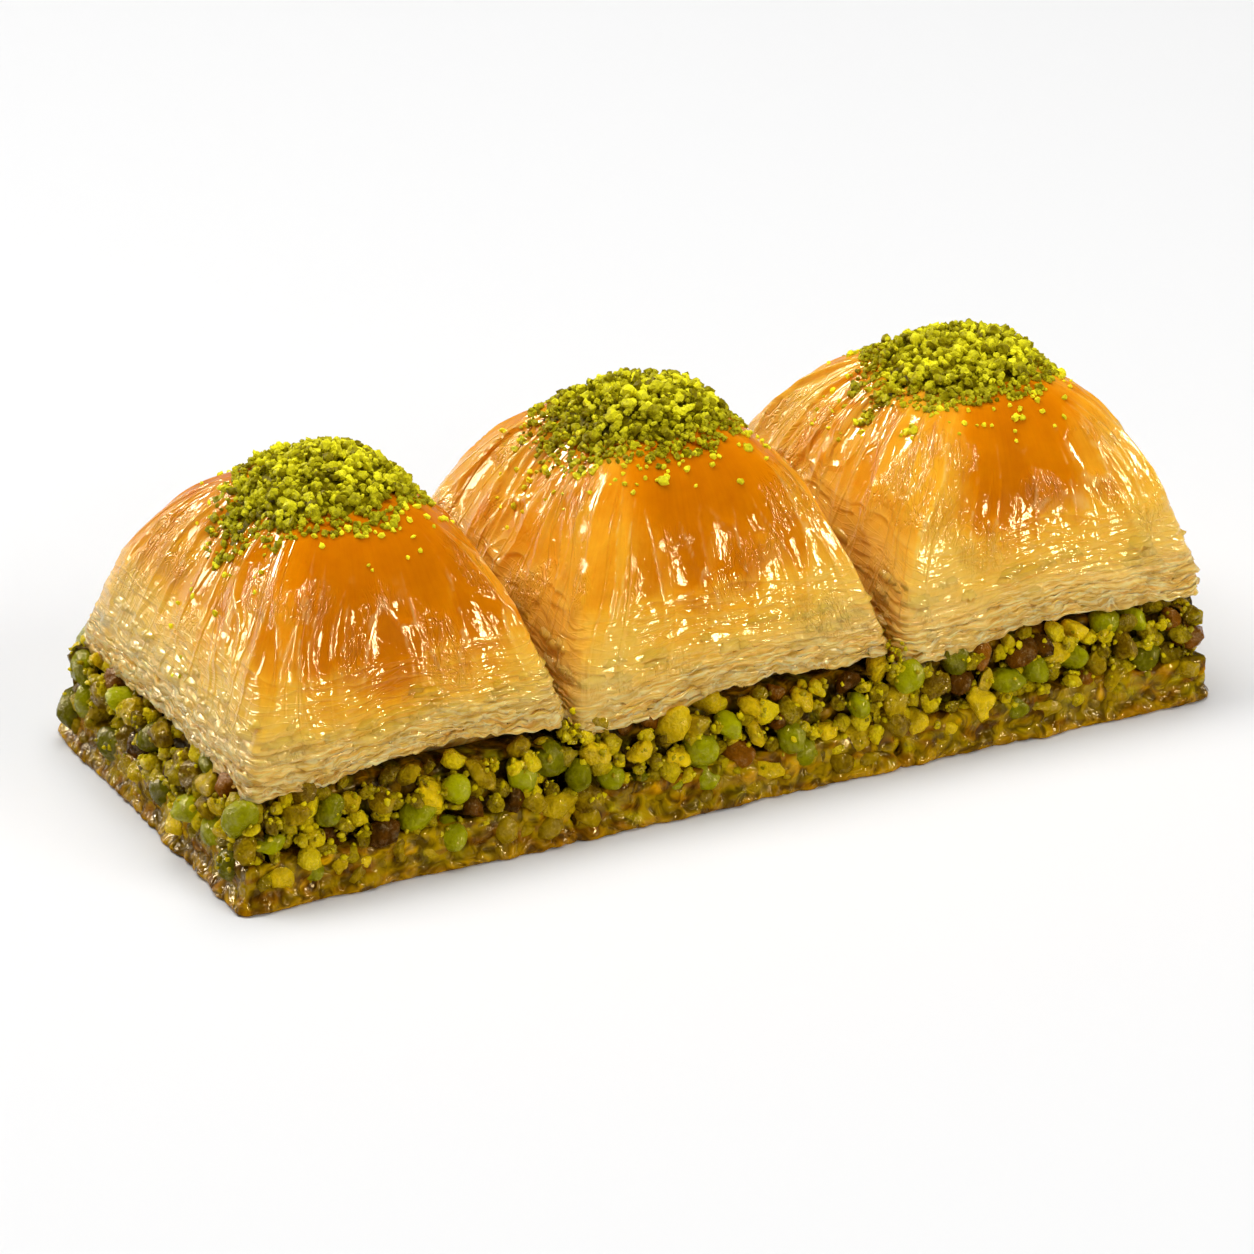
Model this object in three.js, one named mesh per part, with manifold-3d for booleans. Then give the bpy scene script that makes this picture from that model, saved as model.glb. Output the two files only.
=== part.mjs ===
// A row of three puffed pistachio baklava squares, cut from one tray and still side by side.
// From the bottom up, each square is a stack of syrup-soaked pastry, a layer of chopped pistachios,
// a puffed crust of thin pastry sheets and a heap of ground pistachios on the crown.
// Millimetres, +Z up. The row runs along X, its front faces -Y, and it stands on z = 0.

import * as THREE from "three";
import { ImprovedNoise } from "three/addons/math/ImprovedNoise.js";
import { mergeVertices } from "three/addons/utils/BufferGeometryUtils.js";
import Module from "manifold-3d";

const wasm = await Module();
wasm.setup();

// The square, and how it is layered
const SQUARE_WIDTH = 45; // along the row
const SQUARE_DEPTH = 57; // front to back
const KNIFE_CUT = 0.6; // left open between two squares
const LAYER_GAP = 0.3; // between pieces that lie on each other
const SOAKED_HEIGHT = 5.6;
const FILLING_HEIGHT = 7.1;
const FILLING_BOTTOM = SOAKED_HEIGHT + LAYER_GAP;
const CRUST_BOTTOM = FILLING_BOTTOM + FILLING_HEIGHT + LAYER_GAP;

// What differs from square to square: the crust's height, how far its rim stands back from the
// square's left and right sides, where its crown lies from the rim's centre, and its random draws.
const SQUARES = [
  { name: "left", crustHeight: 29.2, leftInset: 2.4, rightInset: 0.3, lean: [1.6, -1], seed: 11 },
  { name: "middle", crustHeight: 30.2, leftInset: 0.6, rightInset: 0.5, lean: [1.4, -1], seed: 23 },
  { name: "right", crustHeight: 27.7, leftInset: 0.6, rightInset: 0.4, lean: [1.4, -1], seed: 37 },
];
const FRONT_INSET = 1.7; // how far the rim stands back from the square's front
const BACK_INSET = 2.4;

// The crust's form
const CRUST_SEGMENTS = 40;
const DOME_BULGE = 2.6; // exponents of the dome's profile
const DOME_SHOULDER = 0.74;
const CROWN_POWER = 4; // the plan is rounder at the crown than at the rim
const RIM_POWER = 30;
const PLAN_SQUARING = 3; // how late, on the way out, the plan turns square
const SHEET_STEPS = 5; // visible steps of the sheets above the rim
const SHEET_PITCH = 1.7;
const RISER_SHARE = 0.75; // of a step's height that is its upright face
const SHEET_WAVE = 0.4;
const SHEET_WAVES = 6; // how quickly the wave changes around the crust
const RINGS_ABOVE_STEPS = 7;
const UNDERSIDE_SHARE = 0.88; // where the flat underside starts to curve up to the rim
const RIM_ARCH = 1.2; // how far the rim rises between two corners
const RIM_SHARPNESS = 12; // how close to the rim the arch and the flare stay
const CORNER_FLARE = 0.4;
const FLARE_SHARPNESS = 4; // how close to the corners the flare stays
const FOLD_DEPTH = 1.1;
const FOLD_WAVES = 5;
const FOLDS_START = 0.66; // the crown inside this share is smooth
const FOLDS_FULL = 0.85;

// The heap of ground pistachios
const HEAP_SEGMENTS = 32;
const HEAP_TOP_RINGS = 6;
const HEAP_UNDERSIDE_SHARES = [0, 0.4, 0.65, 0.85, 1];
const HEAP_CLEARANCE = 0.45; // between the crust and the heap's underside
const HEAP_BROW_SHARE = 0.98; // the top of the heap's upright edge
const HEAP_REACH = [12, 12];
const OUTLINE_WAVE = 0.18; // as a share of the reach
const OUTLINE_WAVES = 2;
const HEAP_EDGE = 0.9;
const HEAP_THICKNESS = 2.3;
const HEAP_RELIEF = 0.9;
const HEAP_WAVES = 9;
const HEAP_GRAINS = 10;
const GRAIN_RADIUS = 0.8;
const GRAINS_OUTERMOST = 0.93; // as a share of the heap's reach
const GRAIN_STANDOUT = 0.2; // as a share of its radius

// The chopped pistachios at the sides
const PIECE_SPREAD = 0.25; // of a piece's size either way
const PIECE_FLATNESS = 0.25;
const NUT_RADIUS = 1.9;
const NUT_SPACING = 5.2;
const NUT_STANDOUT = 0.7; // how far a nut stands out of its layer's side
const NUT_HEIGHT_SPREAD = 0.2;
const SOAKED_NUT_RADIUS = 1.6;
const SOAKED_NUT_SPACING = 12;
const SOAKED_NUT_STANDOUT = 0.35;
const CORNER_RADIUS = 1.4;
const WEAR_DEPTH = 0.5;
const WEAR_PITCH = 5; // between the points of a worn side
const WEAR_WAVELENGTH = 4;
const SOAKED_BEVEL = 0.7;
const GOLDEN_ANGLE = Math.PI * (3 - Math.sqrt(5));

const noise = new ImprovedNoise();

// A source of random numbers from 0 to 1 that gives the same draws each run.
function seededRandom(seed) {
  let state = seed;
  return () => {
    state = (state + 0x6d2b79f5) | 0;
    let t = Math.imul(state ^ (state >>> 15), 1 | state);
    t = (t + Math.imul(t ^ (t >>> 7), 61 | t)) ^ t;
    return ((t ^ (t >>> 14)) >>> 0) / 2 ** 32;
  };
}

// A closed geometry as a solid, and a solid as a geometry.
function toSolid(geometry) {
  const bare = geometry.index ? geometry.toNonIndexed() : geometry.clone();
  bare.deleteAttribute("normal");
  bare.deleteAttribute("uv");
  const merged = mergeVertices(bare, 1e-4);
  const corners = merged.index.array;
  const triangles = [];
  for (let i = 0; i < corners.length; i += 3) {
    const [a, b, c] = corners.subarray(i, i + 3);
    if (a !== b && b !== c && c !== a) triangles.push(a, b, c);
  }
  const vertProperties = merged.attributes.position.array;
  const triVerts = Uint32Array.from(triangles);
  return new wasm.Manifold(new wasm.Mesh({ numProp: 3, vertProperties, triVerts }));
}

function toGeometry(solid) {
  const mesh = solid.getMesh();
  const geometry = new THREE.BufferGeometry();
  geometry.setAttribute("position", new THREE.BufferAttribute(mesh.vertProperties, 3));
  geometry.setIndex(new THREE.BufferAttribute(mesh.triVerts, 1));
  geometry.computeVertexNormals();
  return geometry;
}

function joined(core, pieces) {
  return pieces.reduce((whole, piece) => whole.add(piece), core);
}

// A lathe whose profile runs through the rows, each put in its place by place(angle, row).
function placedLathe(rows, segments, place) {
  const profile = rows.map((row, level) => new THREE.Vector2(row.share, level));
  const lathe = new THREE.LatheGeometry(profile, segments);
  lathe.rotateX(Math.PI / 2);
  const spots = lathe.attributes.position;
  for (let i = 0; i < spots.count; i++) {
    const angle = Math.atan2(spots.getY(i), spots.getX(i));
    const row = rows[Math.round(spots.getZ(i))];
    spots.setXYZ(i, ...place(angle, row).toArray());
  }
  return lathe;
}

// An irregular piece of pistachio, its middle at the origin.
function nugget(random, radius) {
  const geometry = new THREE.IcosahedronGeometry(radius * (1 + PIECE_SPREAD * (2 * random() - 1)), 0);
  geometry.scale(1, 1 - PIECE_FLATNESS * random(), 1 - PIECE_FLATNESS * random());
  geometry.rotateX(Math.PI * random());
  geometry.rotateZ(Math.PI * random());
  return geometry;
}

// The crust

function crustPlan(square) {
  const left = -SQUARE_WIDTH / 2 + square.leftInset;
  const right = SQUARE_WIDTH / 2 - square.rightInset;
  const front = -SQUARE_DEPTH / 2 + FRONT_INSET;
  const back = SQUARE_DEPTH / 2 - BACK_INSET;
  return {
    centre: new THREE.Vector2((left + right) / 2, (front + back) / 2),
    half: new THREE.Vector2((right - left) / 2 - CORNER_FLARE, (back - front) / 2 - CORNER_FLARE),
  };
}

function domeHeight(square, share) {
  return square.crustHeight * (1 - share ** DOME_BULGE) ** DOME_SHOULDER;
}

// The share of the way out from the crown at which the dome is this high.
function domeShare(square, height) {
  return (1 - (height / square.crustHeight) ** (1 / DOME_SHOULDER)) ** (1 / DOME_BULGE);
}

// 1 at the plan's corners and 0 at the middle of its sides.
function cornerness(angle) {
  return Math.sin(2 * angle) ** 2;
}

// How far the folds push the crust out, more than zero or less.
function foldRelief(square, angle, share) {
  const strength = THREE.MathUtils.smoothstep(share, FOLDS_START, FOLDS_FULL);
  const x = Math.cos(angle) * FOLD_WAVES;
  const y = Math.sin(angle) * FOLD_WAVES;
  return FOLD_DEPTH * strength * noise.noise(x, y, square.seed + share);
}

// A point of the crust's surface. The height is above the crust's lowest plane.
function crustPoint(square, angle, { share, height }) {
  const { centre, half } = crustPlan(square);
  const power = CROWN_POWER + (RIM_POWER - CROWN_POWER) * share ** PLAN_SQUARING;
  const along = Math.cos(angle);
  const across = Math.sin(angle);
  const plan = share / (Math.abs(along) ** power + Math.abs(across) ** power) ** (1 / power);
  const nearRim = share ** RIM_SHARPNESS;
  const flare = CORNER_FLARE * cornerness(angle) ** FLARE_SHARPNESS * nearRim;
  const pushed = foldRelief(square, angle, share) + flare;
  const leaning = 1 - share ** 2;
  const arch = RIM_ARCH * (1 - cornerness(angle)) * nearRim;
  return new THREE.Vector3(
    centre.x + square.lean[0] * leaning + plan * half.x * along + pushed * along,
    centre.y + square.lean[1] * leaning + plan * half.y * across + pushed * across,
    height + arch,
  );
}

function crustRows(square) {
  const rows = [{ share: 0, height: 0 }, { share: UNDERSIDE_SHARE, height: 0 }];
  for (let step = 0; step < SHEET_STEPS; step++) {
    const height = step * SHEET_PITCH;
    const share = domeShare(square, height);
    rows.push({ share, height, step });
    rows.push({ share, height: height + RISER_SHARE * SHEET_PITCH, step });
  }
  const lowest = domeShare(square, SHEET_STEPS * SHEET_PITCH);
  for (let ring = 0; ring < RINGS_ABOVE_STEPS; ring++) {
    const share = lowest * Math.cos((Math.PI / 2) * (ring / RINGS_ABOVE_STEPS));
    rows.push({ share, height: domeHeight(square, share) });
  }
  rows.push({ share: 0, height: square.crustHeight });
  return rows;
}

function crust(square) {
  const lathe = placedLathe(crustRows(square), CRUST_SEGMENTS, (angle, row) => {
    const spot = crustPoint(square, angle, row);
    if (row.step === undefined) return spot;
    const x = Math.cos(angle);
    const y = Math.sin(angle);
    const wave = noise.noise(SHEET_WAVES * x, SHEET_WAVES * y, square.seed + 3 * row.step);
    spot.x += SHEET_WAVE * wave * x;
    spot.y += SHEET_WAVE * wave * y;
    return spot;
  });
  return toGeometry(toSolid(lathe));
}

// The heap of ground pistachios

// A point straight above the crust, at a share of the heap's reach and some way up from the crust.
function heapPoint(square, angle, share, lift) {
  const { half } = crustPlan(square);
  const x = Math.cos(angle);
  const y = Math.sin(angle);
  const wave = noise.noise(OUTLINE_WAVES * x, OUTLINE_WAVES * y, square.seed);
  const reach = Math.hypot((HEAP_REACH[0] / half.x) * x, (HEAP_REACH[1] / half.y) * y);
  const crustShare = share * reach * (1 + OUTLINE_WAVE * wave);
  const height = domeHeight(square, crustShare) + HEAP_CLEARANCE + lift;
  return crustPoint(square, angle, { share: crustShare, height });
}

function heapThickness(share) {
  return HEAP_EDGE + (HEAP_THICKNESS - HEAP_EDGE) * (1 - share ** 2);
}

function heapRows() {
  const underside = HEAP_UNDERSIDE_SHARES.map((share) => ({ share }));
  const top = [{ share: HEAP_BROW_SHARE, top: true }];
  for (let ring = HEAP_TOP_RINGS - 1; ring >= 0; ring--) {
    top.push({ share: ring / HEAP_TOP_RINGS, top: true });
  }
  return [...underside, ...top];
}

function heap(square) {
  const random = seededRandom(square.seed);
  const lathe = placedLathe(heapRows(), HEAP_SEGMENTS, (angle, row) => {
    if (!row.top) return heapPoint(square, angle, row.share, 0);
    const x = HEAP_WAVES * row.share * Math.cos(angle);
    const y = HEAP_WAVES * row.share * Math.sin(angle);
    const bump = HEAP_RELIEF * noise.noise(x + square.seed, y, 0.5);
    return heapPoint(square, angle, row.share, heapThickness(row.share) + bump);
  });
  const grains = Array.from({ length: HEAP_GRAINS }, (_, index) => {
    const share = GRAINS_OUTERMOST * Math.sqrt((index + 0.5) / HEAP_GRAINS);
    const lift = heapThickness(share) + GRAIN_STANDOUT * GRAIN_RADIUS;
    const spot = heapPoint(square, index * GOLDEN_ANGLE, share, lift);
    return toSolid(nugget(random, GRAIN_RADIUS).translate(...spot.toArray()));
  });
  return toGeometry(joined(toSolid(lathe), grains));
}

// The soaked pastry and the filling

// A square's outline with rounded corners, worn in and out along its sides.
function wornOutline(seed) {
  const x = (SQUARE_WIDTH - KNIFE_CUT) / 2 - CORNER_RADIUS;
  const y = SQUARE_DEPTH / 2 - CORNER_RADIUS;
  const quarter = Math.PI / 2;
  const rounded = new THREE.Path()
    .absarc(x, -y, CORNER_RADIUS, -quarter, 0)
    .absarc(x, y, CORNER_RADIUS, 0, quarter)
    .absarc(-x, y, CORNER_RADIUS, quarter, 2 * quarter)
    .absarc(-x, -y, CORNER_RADIUS, 2 * quarter, 3 * quarter)
    .getPoints(1);
  const worn = rounded.flatMap((point, index) => {
    const next = rounded[(index + 1) % rounded.length];
    const pieces = Math.ceil(point.distanceTo(next) / WEAR_PITCH);
    return Array.from({ length: pieces }, (_, step) => point.clone().lerp(next, step / pieces));
  });
  for (const point of worn) {
    const wave = noise.noise(point.x / WEAR_WAVELENGTH, point.y / WEAR_WAVELENGTH, seed);
    const inward = WEAR_DEPTH * (0.5 + 0.5 * wave);
    point.multiplyScalar(1 - inward / point.length());
  }
  return new THREE.Shape(worn);
}

// The sides of a square that aren't cut faces: where each starts, its direction and its length.
function openSides(index) {
  const halfWidth = SQUARE_WIDTH / 2;
  const halfDepth = SQUARE_DEPTH / 2;
  const sides = [
    { start: [-halfWidth, -halfDepth], along: [1, 0], out: [0, -1], length: SQUARE_WIDTH },
    { start: [-halfWidth, halfDepth], along: [1, 0], out: [0, 1], length: SQUARE_WIDTH },
  ];
  if (index === 0) {
    sides.push({ start: [-halfWidth, -halfDepth], along: [0, 1], out: [-1, 0], length: SQUARE_DEPTH });
  }
  if (index === SQUARES.length - 1) {
    sides.push({ start: [halfWidth, -halfDepth], along: [0, 1], out: [1, 0], length: SQUARE_DEPTH });
  }
  return sides;
}

// Nuts in a line along one side, at one height, kept clear of the side's two ends.
function nutLine(random, side, { radius, height, spacing, standout, stagger }) {
  const nuts = [];
  const margin = radius * (1 + PIECE_SPREAD) + KNIFE_CUT;
  for (let run = margin + stagger * spacing; run < side.length - margin; run += spacing) {
    const geometry = nugget(random, radius);
    geometry.translate(
      side.start[0] + side.along[0] * run - side.out[0] * (radius - standout),
      side.start[1] + side.along[1] * run - side.out[1] * (radius - standout),
      height + NUT_HEIGHT_SPREAD * (2 * random() - 1),
    );
    nuts.push(toSolid(geometry));
  }
  return nuts;
}

function filling(square, index) {
  const random = seededRandom(square.seed + 100);
  const slab = new THREE.ExtrudeGeometry(wornOutline(square.seed), {
    depth: FILLING_HEIGHT,
    bevelEnabled: false,
  });
  const reach = NUT_RADIUS * (1 + PIECE_SPREAD);
  const line = { radius: NUT_RADIUS, spacing: NUT_SPACING, standout: NUT_STANDOUT };
  const lines = [
    { ...line, height: reach, stagger: 0 },
    { ...line, height: FILLING_HEIGHT - reach, stagger: 0.5 },
  ];
  const nuts = openSides(index).flatMap((side) => lines.flatMap((line) => nutLine(random, side, line)));
  return toGeometry(joined(toSolid(slab), nuts));
}

function soakedPastry(square, index) {
  const random = seededRandom(square.seed + 200);
  const slab = new THREE.ExtrudeGeometry(wornOutline(square.seed + 5), {
    depth: SOAKED_HEIGHT - 2 * SOAKED_BEVEL,
    bevelThickness: SOAKED_BEVEL,
    bevelSize: SOAKED_BEVEL,
    bevelOffset: -SOAKED_BEVEL,
    bevelSegments: 1,
  });
  slab.translate(0, 0, SOAKED_BEVEL);
  const line = {
    radius: SOAKED_NUT_RADIUS,
    height: SOAKED_HEIGHT / 2,
    spacing: SOAKED_NUT_SPACING,
    standout: SOAKED_NUT_STANDOUT,
    stagger: 0.3,
  };
  const nuts = openSides(index).flatMap((side) => nutLine(random, side, line));
  return toGeometry(joined(toSolid(slab), nuts));
}

// The row

const finishes = {
  soaked: new THREE.MeshStandardMaterial({ color: "#8c6d1c", roughness: 0.25 }),
  filling: new THREE.MeshStandardMaterial({ color: "#8f8420", roughness: 0.4 }),
  crust: new THREE.MeshStandardMaterial({ color: "#dc9a3c", roughness: 0.2 }),
  heap: new THREE.MeshStandardMaterial({ color: "#a3992c", roughness: 0.7 }),
};

function piece(name, geometry, material, height) {
  const mesh = new THREE.Mesh(geometry, material);
  mesh.name = name;
  mesh.position.z = height;
  return mesh;
}

const row = new THREE.Group();
SQUARES.forEach((square, index) => {
  const group = new THREE.Group();
  group.position.x = (index - (SQUARES.length - 1) / 2) * SQUARE_WIDTH;
  const { name } = square;
  group.add(
    piece(`soaked_pastry_${name}`, soakedPastry(square, index), finishes.soaked, 0),
    piece(`filling_${name}`, filling(square, index), finishes.filling, FILLING_BOTTOM),
    piece(`crust_${name}`, crust(square), finishes.crust, CRUST_BOTTOM),
    piece(`ground_pistachio_${name}`, heap(square), finishes.heap, CRUST_BOTTOM),
  );
  row.add(group);
});

// The row's origin is the middle of the rectangle that it covers.
const box = new THREE.Box3().setFromObject(row, true);
const middle = box.getCenter(new THREE.Vector3());
row.position.set(-middle.x, -middle.y, -box.min.z);

export default row;
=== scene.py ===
from itertools import product

import bmesh
import bpy
import numpy as np
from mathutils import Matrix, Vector


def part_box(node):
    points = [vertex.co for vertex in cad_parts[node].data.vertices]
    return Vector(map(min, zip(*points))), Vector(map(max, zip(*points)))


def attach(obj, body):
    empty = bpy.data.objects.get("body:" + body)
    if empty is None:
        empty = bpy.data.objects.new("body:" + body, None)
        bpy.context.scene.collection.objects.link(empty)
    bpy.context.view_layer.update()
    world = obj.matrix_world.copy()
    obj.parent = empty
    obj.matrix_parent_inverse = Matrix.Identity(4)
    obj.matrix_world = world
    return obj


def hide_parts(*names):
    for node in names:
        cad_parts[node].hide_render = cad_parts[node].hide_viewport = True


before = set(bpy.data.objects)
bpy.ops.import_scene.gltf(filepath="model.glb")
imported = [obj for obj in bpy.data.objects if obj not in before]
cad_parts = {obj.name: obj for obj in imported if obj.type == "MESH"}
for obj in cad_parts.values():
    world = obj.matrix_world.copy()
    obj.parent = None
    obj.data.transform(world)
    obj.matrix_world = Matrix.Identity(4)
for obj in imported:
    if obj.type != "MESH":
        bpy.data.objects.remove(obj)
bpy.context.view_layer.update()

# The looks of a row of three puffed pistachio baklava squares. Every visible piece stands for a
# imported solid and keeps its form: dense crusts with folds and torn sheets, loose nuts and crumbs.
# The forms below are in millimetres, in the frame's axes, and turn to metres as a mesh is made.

MM = 0.001


# Places from the frame


def box_mm(node):
    low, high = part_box(node)
    return np.array(low) / MM, np.array(high) / MM


# What differs from square to square: how far the rim stands back from the square's left and right
# sides, where the crown lies from the rim's centre, how full its dome is, how far the front rim is
# lifted at its left and right ends, how baked it is, and its draws.
SQUARES = [
    {"name": "left", "insets": (2.4, 0.3), "lean": (1.6, -1.0), "bulge": 2.8, "lift": (0.8, 2.4),
     "bake": 0.23, "seed": 11},
    {"name": "middle", "insets": (0.6, 0.5), "lean": (1.4, -1.0), "bulge": 2.75, "lift": (0.0, 1.8),
     "bake": 0.12, "seed": 23},
    {"name": "right", "insets": (0.6, 0.4), "lean": (1.4, -1.0), "bulge": 3.1, "lift": (0.0, 1.2),
     "bake": 0.06, "seed": 37},
]
SQUARE_WIDTH = 45.0
SQUARE_DEPTH = 57.0
KNIFE_CUT = 0.6
FRONT_INSET = 1.7
BACK_INSET = 2.4

ROW_MIDDLE = (box_mm("soaked_pastry_left")[0][0] + box_mm("soaked_pastry_right")[1][0]) / 2
for index, square in enumerate(SQUARES):
    name = square["name"]
    square["index"] = index
    square["middle"] = ROW_MIDDLE + (index - 1) * SQUARE_WIDTH
    square["crust_bottom"], square["crust_top"] = (corner[2] for corner in box_mm(f"crust_{name}"))
    square["filling_bottom"], square["filling_top"] = (corner[2] for corner in box_mm(f"filling_{name}"))
    square["soaked_top"] = box_mm(f"soaked_pastry_{name}")[1][2]


# Noise


class Noise:
    """Smooth gradient noise from about -1 to 1, on arrays of coordinates."""

    def __init__(self, seed):
        random = np.random.default_rng(seed)
        slopes = random.normal(size=(256, 3))
        self.slopes = slopes / np.linalg.norm(slopes, axis=1, keepdims=True)
        self.order = random.permutation(256)

    def __call__(self, x, y, z):
        points = np.stack(np.broadcast_arrays(x, y, z), axis=-1).astype(float)
        cell = np.floor(points).astype(int)
        part = points - cell
        fade = part**3 * (part * (part * 6 - 15) + 10)
        total = 0
        for corner in product((0, 1), repeat=3):
            corner = np.array(corner)
            a, b, c = np.moveaxis((cell + corner) & 255, -1, 0)
            slope = self.slopes[self.order[(self.order[(self.order[a] + b) & 255] + c) & 255]]
            weight = np.prod(np.where(corner, fade, 1 - fade), axis=-1)
            total = total + weight * np.sum(slope * (part - corner), axis=-1)
        return 1.6 * total


def cells(points, seed):
    """Distances to the nearest two scattered points, one to a unit cell, and the nearest one's draws."""
    random = np.random.default_rng(seed)
    order = random.permutation(1024)
    jitter = random.uniform(0.1, 0.9, size=(1024, 3))
    draws = random.uniform(size=(1024, 3))
    cell = np.floor(points).astype(int)
    first = np.full(len(points), 9.0)
    second = np.full(len(points), 9.0)
    owner = np.zeros(len(points), int)
    for step in product((-1, 0, 1), repeat=3):
        near = cell + np.array(step)
        a, b, c = (near & 1023).T
        key = order[(order[(order[a] + b) & 1023] + c) & 1023]
        distance = np.linalg.norm(near + jitter[key] - points, axis=1)
        closer = distance < first
        second = np.where(closer, first, np.minimum(second, distance))
        owner = np.where(closer, key, owner)
        first = np.where(closer, distance, first)
    return first, second, draws[owner]


def smoothstep(value, low, high):
    share = np.clip((value - low) / (high - low), 0, 1)
    return share * share * (3 - 2 * share)


def crests(value, width=0.08):
    """1 on the lines where the value is zero, falling off on both sides of them."""
    return 1 - np.sqrt(value**2 + width**2)


# Meshes


def add_mesh(name, points, faces, material, smooth=True, **attributes):
    """A mesh of points in millimetres. An attribute has a number, or three, for each point."""
    mesh = bpy.data.meshes.new(name)
    mesh.from_pydata((np.asarray(points) * MM).tolist(), [], faces)
    for key, values in attributes.items():
        values = np.asarray(values, np.float32)
        if values.ndim == 1:
            mesh.attributes.new(key, "FLOAT", "POINT").data.foreach_set("value", values)
        else:
            mesh.attributes.new(key, "FLOAT_VECTOR", "POINT").data.foreach_set("vector", values.ravel())
    if smooth:
        mesh.shade_smooth()
    mesh.materials.append(material)
    piece = bpy.data.objects.new(name, mesh)
    bpy.context.collection.objects.link(piece)
    return piece


def dress(piece, slot, *nodes):
    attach(piece, "root")
    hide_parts(*nodes)


def lathe_faces(rows, columns):
    """Faces of a closed mesh of rings of points, with a middle point for each end after them."""
    row, column = np.meshgrid(np.arange(rows - 1), np.arange(columns), indexing="ij")
    start = row * columns
    after = (column + 1) % columns
    corners = [start + column, start + after, start + columns + after, start + columns + column]
    faces = np.stack(corners, axis=-1).reshape(-1, 4).tolist()
    turn = np.arange(columns)
    onward = (turn + 1) % columns
    bottom, top = rows * columns, rows * columns + 1
    last_row = (rows - 1) * columns
    faces += np.stack([np.full(columns, bottom), onward, turn], axis=-1).tolist()
    faces += np.stack([np.full(columns, top), last_row + turn, last_row + onward], axis=-1).tolist()
    return faces


def with_ends(values):
    """Values of rings of points as one list, with the mean of the first and last ring after them."""
    ends = [values[0].mean(axis=0), values[-1].mean(axis=0)]
    return np.concatenate([values.reshape(-1, *values.shape[2:]), ends])


def closed_lathe(name, rings, material, **attributes):
    """A closed mesh of rings of points, from the middle of the underside up to the top."""
    flat = {key: with_ends(values) for key, values in attributes.items()}
    return add_mesh(name, with_ends(rings), lathe_faces(*rings.shape[:2]), material, **flat)


# Materials


def rgb(red, green, blue):
    """A colour given as the eye's 0 to 255 values, as the light values that a shader takes."""
    share = np.array([red, green, blue]) / 255
    return tuple(np.where(share <= 0.04045, share / 12.92, ((share + 0.055) / 1.055) ** 2.4))


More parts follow.
